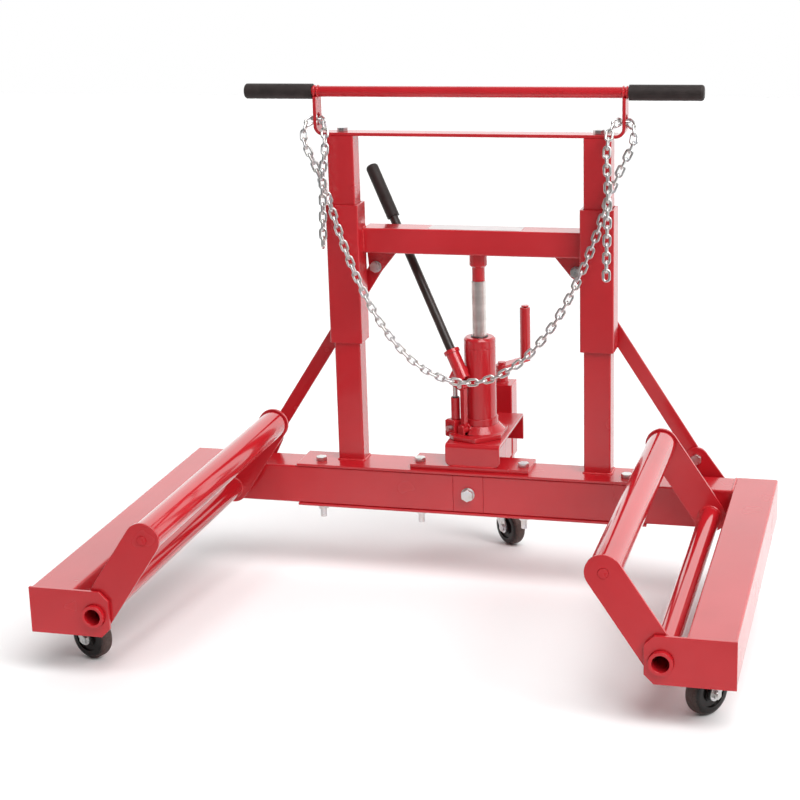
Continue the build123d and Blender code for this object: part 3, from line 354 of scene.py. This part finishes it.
def pin_finish():
    """Enamel on the roller's shaft, and zinc plate on the strut's bolt behind it."""
    finish = Finish("arm_pin")
    split = BACK.dot(MACHINE @ Vector((0, BETWEEN_PINS, 0)))
    plated = finish.spread(finish.along(BACK), 0.0, 1.0, split, split + 2 * MM)
    red = finish.ramp(finish.noise(5, 3), (0.30, RED_DEEP), (0.72, RED_BRIGHT))
    silver = finish.ramp(finish.noise(70, 4), (0.30, (0.62, 0.61, 0.58)), (0.72, (0.72, 0.72, 0.72)))
    finish.set(Base_Color=finish.blend(plated, red, silver), Metallic=plated,
               Roughness=finish.spread(finish.noise(160, 4), 0.24, 0.38))
    return finish.bump((finish.noise(240, 2), 0.018)).material


def ground_steel():
    """Ground and oiled ram: fine rings round the bar, a few darker bands and a dull oil film."""
    finish = Finish("ground_steel")
    height = finish.along(UP)
    rings = finish.rings(height, 2600, 3)
    bands = finish.rings(height, 55, 2)
    tone = finish.ramp(bands, (0.35, (0.74, 0.70, 0.67)), (0.65, (0.86, 0.82, 0.79)))
    colour = finish.blend(finish.spread(finish.noise(90, 3), 0, 0.25), tone, (0.52, 0.47, 0.43))
    finish.set(Base_Color=colour, Metallic=1.0, Roughness=finish.spread(rings, 0.32, 0.46))
    return finish.bump((rings, 0.004)).material


def black_paint():
    """Gloss black enamel on the pump handle."""
    finish = Finish("gloss_black_paint")
    tone = finish.ramp(finish.noise(30, 3), (0.35, (0.022, 0.014, 0.012)), (0.70, (0.036, 0.023, 0.020)))
    dull = finish.spread(finish.noise(45, 3), 0.34, 0.46)
    finish.set(Base_Color=tone, Roughness=dull, Specular_IOR_Level=0.4, Coat_Weight=0.1, Coat_Roughness=0.12)
    return finish.bump((finish.noise(260, 2), 0.02)).material


def grip_rubber():
    """Moulded grip: dull, finely grained, a little dusty."""
    finish = Finish("black_grip")
    tone = finish.ramp(finish.noise(60, 4), (0.30, (0.020, 0.014, 0.013)), (0.72, (0.034, 0.024, 0.023)))
    dust = finish.spread(finish.noise(700, 3), 0.0, 0.22, 0.55, 0.75)
    colour = finish.blend(dust, tone, (0.075, 0.062, 0.060))
    dull = finish.spread(finish.noise(240, 3), 0.48, 0.66)
    finish.set(Base_Color=colour, Roughness=dull, Specular_IOR_Level=0.35)
    return finish.bump((finish.noise(1500, 2), 0.06), (finish.spots(900), 0.03)).material


TREAD_START, TREAD_FULL = 0.0355, 0.0395  # distance from the axle, in metres


def wheel_plastic(name, centre, axis):
    """Dark moulded wheel: glossy sides, and a browner, scuffed tread at its rim."""
    finish = Finish(name)
    rim = finish.off_axis(centre, axis)
    worn = finish.maths("ADD", rim, finish.maths("MULTIPLY", finish.noise(160, 4), 0.006))
    tread = finish.spread(worn, 0.0, 1.0, TREAD_START, TREAD_FULL)
    side = finish.ramp(finish.noise(55, 3), (0.3, (0.007, 0.005, 0.0045)), (0.7, (0.014, 0.010, 0.009)))
    scuffed = finish.ramp(finish.noise(420, 4), (0.3, (0.045, 0.026, 0.022)), (0.7, (0.095, 0.060, 0.052)))
    colour = finish.blend(tread, side, scuffed)
    dull = finish.spread(tread, 0.22, 0.55, 0, 1)
    finish.set(Base_Color=colour, Roughness=dull, Specular_IOR_Level=0.4)
    return finish.bump((finish.noise(800, 3), 0.05)).material


def label_vinyl():
    """Blank satin label, faintly mottled."""
    finish = Finish("blank_label")
    tone = finish.ramp(finish.noise(40, 3), (0.3, (0.64, 0.60, 0.60)), (0.7, (0.72, 0.68, 0.68)))
    finish.set(Base_Color=tone, Roughness=finish.spread(finish.noise(120, 2), 0.30, 0.42))
    return finish.bump((finish.noise(500, 2), 0.01)).material


def oil_seal():
    """Dark nitrile of the ram's wiper ring."""
    finish = Finish("oil_seal")
    tone = finish.ramp(finish.noise(300, 3), (0.3, (0.014, 0.013, 0.013)), (0.7, (0.03, 0.028, 0.028)))
    finish.set(Base_Color=tone, Roughness=0.38)
    return finish.bump((finish.noise(1200, 2), 0.02)).material


# Where the floor's painted dark reflection begins and where it is full.
DARK_REFLECTION_START, DARK_REFLECTION_END = 0.15, 1.2  # metres in front of the origin


def floor_white():
    """Pale matt studio floor with a painted dark reflection: to glossy rays its colour fades to black in
    front, so shiny parts reflect dark there.
    """
    finish = Finish("studio_floor")
    tone = finish.ramp(finish.noise(1.5, 2), (0.3, (0.92, 0.92, 0.92)), (0.7, (0.94, 0.94, 0.94)))
    rays = finish.nodes.new("ShaderNodeLightPath")
    ahead = finish.spread(finish.along((0, -1, 0)), 0.0, 0.9, DARK_REFLECTION_START, DARK_REFLECTION_END)
    # Painted dark reflection: the floor's colour goes to black for glossy rays in front of the object.
    painted_dark_reflection = finish.maths("MULTIPLY", ahead, rays.outputs["Is Glossy Ray"])
    colour = finish.blend(painted_dark_reflection, tone, (0.0, 0.0, 0.0))
    return finish.set(Base_Color=colour, Roughness=0.8, Specular_IOR_Level=0.2).material


# ---------------------------------------------------------------- dressing the CAD parts
def paint_nodes(finishes):
    """Gives every CAD node its finish, by its material slot in the record."""
    slots = {part["node"]: part["material_slot"] for part in frame["record"]["subparts"]}
    for name, node in frame["nodes"].items():
        finish = finishes.get(name) or finishes[slots[name]]
        node.data.materials.clear()
        node.data.materials.append(finish)


SAME_POINT = 0.00001
FLAT_ANGLE = radians(0.4)
EDGE_ANGLE = radians(38)


def soften(names, width):
    """Rounds the hard edges of CAD nodes by a small radius, in millimetres."""
    for name in names:
        node = frame["nodes"][name]
        weld = node.modifiers.new("join_faces", "WELD")
        weld.merge_threshold = SAME_POINT
        flat = node.modifiers.new("whole_faces", "DECIMATE")
        flat.decimate_type = "DISSOLVE"
        flat.angle_limit = FLAT_ANGLE
        bevel = node.modifiers.new("edge_radius", "BEVEL")
        bevel.width = width * MM
        bevel.segments = 2
        bevel.limit_method = "ANGLE"
        bevel.angle_limit = EDGE_ANGLE
        bevel.use_clamp_overlap = False
        bevel.harden_normals = False
        normals = node.modifiers.new("even_normals", "WEIGHTED_NORMAL")
        normals.weight = 80
        normals.keep_sharp = False


# ---------------------------------------------------------------- pieces built here
def add_piece(name, verts, faces, finish, body):
    """Mesh given in machine millimetres, placed in the row frame and riding on a body."""
    mesh = bpy.data.meshes.new(name)
    mesh.from_pydata([MACHINE @ Vector(vert) for vert in verts], [], faces)
    mesh.validate()
    mesh.update()
    for polygon in mesh.polygons:
        polygon.use_smooth = True
    mesh.materials.append(finish)
    piece = bpy.data.objects.new(name, mesh)
    bpy.context.scene.collection.objects.link(piece)
    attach(piece, body)
    return piece


BEAD_STEP = 0.8
BEAD_PITCH = 2.6
BEAD_SIDES = 10


def resample(points, closed):
    """Points one bead step apart along a run of straight lines."""
    ends = points + [points[0]] if closed else points
    walk = []
    for start, end in zip(ends, ends[1:]):
        start, end = Vector(start), Vector(end)
        count = max(1, round((end - start).length / BEAD_STEP))
        walk += [start.lerp(end, index / count) for index in range(count)]
    if not closed:
        walk.append(Vector(ends[-1]))
    return walk


def bead_mesh(points, radius, closed, seed):
    """One weld bead: a rope of overlapping crescents along a line."""
    rng = random.Random(seed)
    walk = resample(points, closed)
    verts, faces = [], []
    count = len(walk)
    drift = 0.0
    for index, point in enumerate(walk):
        before = walk[index - 1] if closed or index else walk[index]
        after = walk[(index + 1) % count] if closed or index < count - 1 else walk[index]
        tangent = (after - before).normalized()
        level = Vector((0, 0, 1)) if abs(tangent.z) < 0.9 else Vector((0, 1, 0))
        side = tangent.cross(level).normalized()
        top = side.cross(tangent)
        drift = drift * 0.9 + rng.uniform(-0.03, 0.03)
        ripple = 0.86 + 0.14 * abs(cos(pi * index * BEAD_STEP / BEAD_PITCH)) + drift
        size = radius * ripple
        if not closed:
            end_gap = min(index, count - 1 - index) * BEAD_STEP
            size *= min(1.0, 0.35 + 0.65 * (end_gap / (2.5 * radius)) ** 0.5)
        for step in range(BEAD_SIDES):
            angle = 2 * pi * step / BEAD_SIDES
            verts.append(point + (side * cos(angle) + top * sin(angle)) * size)
    rings = count if closed else count - 1
    for ring in range(rings):
        here, there = ring * BEAD_SIDES, (ring + 1) % count * BEAD_SIDES
        for step in range(BEAD_SIDES):
            other = (step + 1) % BEAD_SIDES
            faces.append((here + step, here + other, there + other, there + step))
    if not closed:
        faces.append(tuple(reversed(range(BEAD_SIDES))))
        faces.append(tuple((count - 1) * BEAD_SIDES + step for step in range(BEAD_SIDES)))
    return verts, faces


def add_beads(name, body, runs):
    """Several weld beads as one piece. Each run is (points, radius, closed)."""
    verts, faces = [], []
    for number, (points, radius, closed) in enumerate(runs):
        more_verts, more_faces = bead_mesh(points, radius, closed, f"{name}{number}")
        offset = len(verts)
        verts += more_verts
        faces += [tuple(index + offset for index in face) for face in more_faces]
    add_piece(name, verts, faces, WELD, body)


def circle(centre, axis, radius, sides=48):
    """Closed run of points round an axis."""
    axis = Vector(axis).normalized()
    first = axis.orthogonal().normalized()
    second = axis.cross(first)
    return [
        tuple(Vector(centre) + (first * cos(2 * pi * k / sides) + second * sin(2 * pi * k / sides)) * radius)
        for k in range(sides)]


def oblong_flat(x0, x1, y0, y1, z, corner):
    """Closed run round a level rectangle with rounded corners."""
    points = []
    for cx, cy, start in (
            (x1 - corner, y1 - corner, 0), (x0 + corner, y1 - corner, 90),
            (x0 + corner, y0 + corner, 180), (x1 - corner, y0 + corner, 270)):
        for step in range(5):
            angle = radians(start + 22.5 * step)
            points.append((cx + corner * cos(angle), cy + corner * sin(angle), z))
    return points


def oblong_across(x, y0, y1, z0, z1, corner):
    """Closed run round a rectangle that faces sideways."""
    return [(x, a, b) for a, b, _ in oblong_flat(y0, y1, z0, z1, 0, corner)]


def lathe(name, foot, axis, profile, finish, body, sides=32):
    """Turned piece: profile of (radius, height) from the foot along an axis."""
    axis = Vector(axis).normalized()
    first = axis.orthogonal().normalized()
    second = axis.cross(first)
    verts, faces = [], []
    for radius, height in profile:
        for k in range(sides):
            angle = 2 * pi * k / sides
            verts.append(Vector(foot) + axis * height + (first * cos(angle) + second * sin(angle)) * radius)
    for ring in range(len(profile) - 1):
        here, there = ring * sides, (ring + 1) * sides
        for k in range(sides):
            other = (k + 1) % sides
            faces.append((here + k, here + other, there + other, there + k))
    faces.append(tuple(reversed(range(sides))))
    faces.append(tuple((len(profile) - 1) * sides + k for k in range(sides)))
    return add_piece(name, verts, faces, finish, body)


TORUS_SIDES = 14


def torus(name, centre, axis, radius, thickness, finish, body):
    """Ring of round section."""
    axis = Vector(axis).normalized()
    verts, faces = [], []
    path = circle(centre, axis, radius, 64)
    for point in path:
        out = (Vector(point) - Vector(centre)).normalized()
        for step in range(TORUS_SIDES):
            angle = 2 * pi * step / TORUS_SIDES
            verts.append(Vector(point) + (out * cos(angle) + axis * sin(angle)) * thickness / 2)
    count = len(path)
    for ring in range(count):
        here, there = ring * TORUS_SIDES, (ring + 1) % count * TORUS_SIDES
        for step in range(TORUS_SIDES):
            other = (step + 1) % TORUS_SIDES
            faces.append((here + step, here + other, there + other, there + step))
    return add_piece(name, verts, faces, finish, body)


# Places shared with the CAD, in machine millimetres.
POST_X, POST_HALF_X, POST_HALF_Y = 238.0, 25.0, 20.0
SLEEVE_HALF_X = 31.0
BEAM_TOP = 159.0
LIFT_FRONT, LIFT_LOW, LIFT_HIGH = 5.0, 560.0, 607.0
BEAM_WELD_BACK = 26.0
GUSSET_INNER, GUSSET_OUTER, GUSSET_FRONT, GUSSET_BACK = 150.5, 204.0, 29.6, 36.4
UPRIGHT_X, UPRIGHT_INNER_X = 288.0, 282.0
HANDLE_Z, HANDLE_RADIUS = 861.0, 10.0
PIVOT_X, PIVOT_Z, PIVOT_RADIUS = 455.0, 115.3, 19.0
FRONT_LINK, MIDDLE_LINK, LEVER, LINK_THICK = -736.0, -95.0, 31.0, 6.0
ROLLER_X, ROLLER_Z, ROLLER_SHAFT = 367.0, 246.5, 8.0
LEG_INNER, LEG_FRONT, LEG_LOW, LEG_TOP = 491.0, -738.0, 80.0, 155.0
CROSS_FRONT, CROSS_BACK, CROSS_LOW, CROSS_HIGH = -58.0, 16.0, 80.0, 154.0
JACK_X, JACK_Y, CAP_TOP, RAM_RADIUS = 6.0, 34.0, 400.0, 13.5
SEAT_LEFT, SEAT_RIGHT, SEAT_FRONT, SEAT_BACK = -46.0, 58.0, -45.0, 181.0
SEAT_FOOT, TAIL_TOP = 167.0, 157.0
TAIL_Y, TAIL_HALF, ARM_HALF = 250.0, 25.0, 25.0
TAIL_LOW, FLANGE_BACK = 107.0, 34.0
NECK_FOOT, NECK_RADIUS = 251.4, 12.8
LEVER_HEADING, LEVER_ASIDE = radians(147), 44.0
PUMP_HEADING = Vector((cos(LEVER_HEADING), sin(LEVER_HEADING), 0))
PUMP_ASIDE = Vector((-sin(LEVER_HEADING), cos(LEVER_HEADING), 0))
SIDES = {"left": -1, "right": 1}


def pump_point(reach, z, sideways=0.0):
    """Point in the pump lever's plane, or beside it."""
    flat = PUMP_HEADING * reach + PUMP_ASIDE * (LEVER_ASIDE + sideways)
    return (JACK_X + flat.x, JACK_Y + flat.y, z)


def add_frame_welds():
    """Beads round the post feet, the push bar and the legs."""
    posts, handles, legs = [], [], []
    for side in SIDES.values():
        x = side * POST_X
        left, right = x - POST_HALF_X - 1, x + POST_HALF_X + 1
        foot = oblong_flat(left, right, -POST_HALF_Y - 1, POST_HALF_Y + 1, BEAM_TOP + 0.6, 4)
        posts.append((foot, 2.3, True))
        for face in (UPRIGHT_X + 0.4, UPRIGHT_INNER_X - 0.4):
            around = circle((side * face, 0, HANDLE_Z), (1, 0, 0), HANDLE_RADIUS + 0.4)
            handles.append((around, 1.7, True))
        x = side * (LEG_INNER - 0.4)
        socket = oblong_across(x, CROSS_FRONT - 0.6, CROSS_BACK + 0.4, CROSS_LOW, CROSS_HIGH, 4)
        legs.append((socket, 2.2, True))
        x, y = side * (LEG_INNER - 0.5), LEG_FRONT + 0.3
        legs.append(([(x, y, LEG_LOW + 4), (x, y, LEG_TOP - 4)], 1.8, False))
    add_beads("post_foot_welds", "frame", posts)
    add_beads("handle_bar_welds", "frame", handles)
    add_beads("leg_welds", "frame", legs)


def add_carriage_welds():
    """Beads where the lift beam meets the sleeves, and along the lugs under its ends."""
    runs = []
    for side in SIDES.values():
        x = side * (POST_X - SLEEVE_HALF_X - 0.4)
        front, back = LIFT_FRONT - 0.6, BEAM_WELD_BACK
        runs.append(([(x, front, LIFT_LOW + 3), (x, front, LIFT_HIGH - 3)], 2.0, False))
        for z in (LIFT_HIGH + 0.5, LIFT_LOW - 0.5):
            runs.append(([(x, front + 3, z), (x, back - 1, z)], 1.9, False))
        start, end = side * GUSSET_INNER, side * GUSSET_OUTER
        for y in (GUSSET_FRONT, GUSSET_BACK):
            runs.append(([(start, y, LIFT_LOW - 0.6), (end, y, LIFT_LOW - 0.6)], 1.6, False))
    add_beads("lift_beam_welds", "carriage", runs)


def add_arm_welds():
    """Beads round the pivot tubes and roller shafts where the links are welded on."""
    link_faces = [
        FRONT_LINK - 0.3, FRONT_LINK + LINK_THICK + 0.3, MIDDLE_LINK - 0.3,
        MIDDLE_LINK + LINK_THICK + 0.3]
    for name, side in SIDES.items():
        runs = []
        for face in link_faces:
            around = circle((side * PIVOT_X, face, PIVOT_Z), (0, 1, 0), PIVOT_RADIUS + 0.5, 56)
            runs.append((around, 2.0, True))
        tube_end = (side * PIVOT_X, LEVER + LINK_THICK, PIVOT_Z)
        runs.append((circle(tube_end, (0, 1, 0), PIVOT_RADIUS - 1.5, 56), 2.0, True))
        shaft_end = (side * ROLLER_X, MIDDLE_LINK + LINK_THICK + 0.2, ROLLER_Z)
        runs.append((circle(shaft_end, (0, 1, 0), ROLLER_SHAFT + 0.2), 1.5, True))
        add_beads(f"{name}_arm_welds", f"{name}_arm", runs)


def add_rear_welds():
    """Beads at the jack's seat, both ends of the rear arm and the crank's bearing neck."""
    y, z = SEAT_FRONT - 0.2, SEAT_FOOT + 0.4
    seat = [([(SEAT_LEFT + 12, y, z), (SEAT_RIGHT - 12, y, z)], 1.6, False)]
    y, z = SEAT_BACK + 0.3, TAIL_TOP + 0.4
    seat.append(([(-ARM_HALF + 2, y, z), (ARM_HALF - 2, y, z)], 1.8, False))
    add_beads("jack_seat_welds", "frame", seat)
    tail = []
    for y in (TAIL_Y - TAIL_HALF - 0.4, FLANGE_BACK + 0.4):
        outline = oblong_flat(-ARM_HALF, ARM_HALF, TAIL_LOW, TAIL_TOP, 0, 4)
        tail.append(([(x, y, z) for x, z, _ in outline], 2.0, True))
    add_beads("tail_arm_welds", "frame", tail)
    neck = circle((0, TAIL_Y, NECK_FOOT), (0, 0, 1), NECK_RADIUS)
    add_beads("tail_neck_weld", "frame", [(neck, 1.6, True)])


PLUNGER_REACH, BLOCK_END = 23.3, 14.2
LINK_PIN_Z, PLUNGER_PIN_Z, BARREL_TOP = 314, 320, 286.2
SCREW_HEIGHTS = (231.5, 219.5)
# Turned profiles as (radius, height above the foot).
SCREW_PROFILE = [(3.4, -1.0), (3.4, 4.0), (3.1, 4.6), (2.2, 4.8), (2.0, 3.0)]
CLIP_PROFILE = [(5.6, 0), (5.8, 0.3), (5.8, 1.1), (5.4, 1.4), (3.1, 1.5), (3.1, 3.2), (2.6, 3.7)]
PIN_PROFILE = [(2.9, 0), (2.9, 3.6), (2.9, 3.8), (4.9, 3.9), (5.0, 4.9), (4.2, 6.0), (2.2, 6.5)]


def add_hardware():
    """Small fasteners of the pump, and the wiper rings of the ram and the plunger."""
    for number, z in enumerate(SCREW_HEIGHTS, 1):
        foot = pump_point(PLUNGER_REACH + BLOCK_END, z, 1.5)
        lathe(f"pump_screw_{number}", foot, PUMP_HEADING, SCREW_PROFILE, ZINC, "frame")
    for number, side in enumerate((-1, 1), 1):
        axis = PUMP_ASIDE * side
        foot = pump_point(0, LINK_PIN_Z, side * 10.3)
        lathe(f"link_clip_{number}", foot, axis, CLIP_PROFILE, ZINC, "frame")
        foot = pump_point(PLUNGER_REACH, PLUNGER_PIN_Z, side * 6.3)
        lathe(f"plunger_pin_{number}", foot, axis, PIN_PROFILE, ZINC, "pump_lever")
    middle = (JACK_X, JACK_Y, CAP_TOP + 0.2)
    torus("ram_wiper", middle, (0, 0, 1), RAM_RADIUS + 1.7, 2.8, SEAL, "frame")
    middle = pump_point(PLUNGER_REACH, BARREL_TOP)
    torus("plunger_wiper", middle, (0, 0, 1), 6.0, 2.4, SEAL, "frame")


def add_floor():
    """Wide pale floor under the wheels."""
    low = cad_box[0][2]
    reach = 30.0
    mesh = bpy.data.meshes.new("studio_floor")
    corners = [(-reach, -reach, low), (reach, -reach, low), (reach, reach, low), (-reach, reach, low)]
    mesh.from_pydata(corners, [], [(0, 1, 2, 3)])
    mesh.materials.append(floor_white())
    floor = bpy.data.objects.new("studio_floor", mesh)
    bpy.context.scene.collection.objects.link(floor)


# ---------------------------------------------------------------- putting it together
RED = red_paint("gloss_red_paint", 0.018)
CAST = red_paint("red_cast", 0.03, cast=0.16)
ROLLED = red_paint("rolled_tube_red", 0.008, dull=0.12, coat_dull=0.03)
ZINC = zinc("zinc_plate", 0.72, 0.32)
ARM_PIN = pin_finish()
WELD = weld_paint()
SEAL = oil_seal()
finishes = {
    "gloss_red_paint": RED,
    "red_cast": CAST,
    "zinc_plate": ZINC,
    "gloss_black_paint": black_paint(),
    "black_grip": grip_rubber(),
    "ground_steel": ground_steel(),
    "blank_label": label_vinyl(),
    "safety_chain": zinc("chain_zinc", 0.78, 0.34),
    "left_arm_pins": ARM_PIN,
    "right_arm_pins": ARM_PIN,
    "left_roller": ROLLED,
    "right_roller": ROLLED,
    "left_pivot_tube": ROLLED,
    "right_pivot_tube": ROLLED,
}
for corner in ("left", "right", "rear"):
    spin = JOINTS[f"{corner}_wheel_spin"]
    finishes[f"{corner}_caster_wheel"] = wheel_plastic(f"{corner}_wheel", spin["pos_m"], spin["axis"])
paint_nodes(finishes)
soften(["channel_beam", "center_block", "front_end_plates", "jack_base_plate", "jack_seat", "handle_bracket",
        "lift_gussets", "left_arm_links", "right_arm_links", "left_strut", "right_strut"], 0.9)
soften(["left_leg_box", "right_leg_box", "left_cross_tube", "right_cross_tube", "left_post", "right_post",
        "left_sleeve", "right_sleeve", "lift_beam", "tail_arm", "tail_sleeve", "tail_leg"], 0.8)
soften(["jack_base"], 1.2)
soften(["jack_cap_nut", "jack_saddle", "jack_cylinder", "pump_socket", "pump_barrel", "tail_crank"], 0.5)
soften(["frame_bolts", "frame_nuts", "gusset_bolts", "left_arm_pins", "right_arm_pins"], 0.5)
soften(["left_pivot_tube", "right_pivot_tube", "left_roller", "right_roller"], 0.6)
add_camera()
add_world()
add_sun((-0.42, 0.50, -0.86), 50, 2.75)
add_softbox("key_right", (2.6, -1.6, 2.3), (0, 0, 0.4), 1.1, 26)
add_floor()
add_frame_welds()
add_carriage_welds()
add_arm_welds()
add_rear_welds()
add_hardware()
bpy.context.scene.view_settings.view_transform = "Standard"
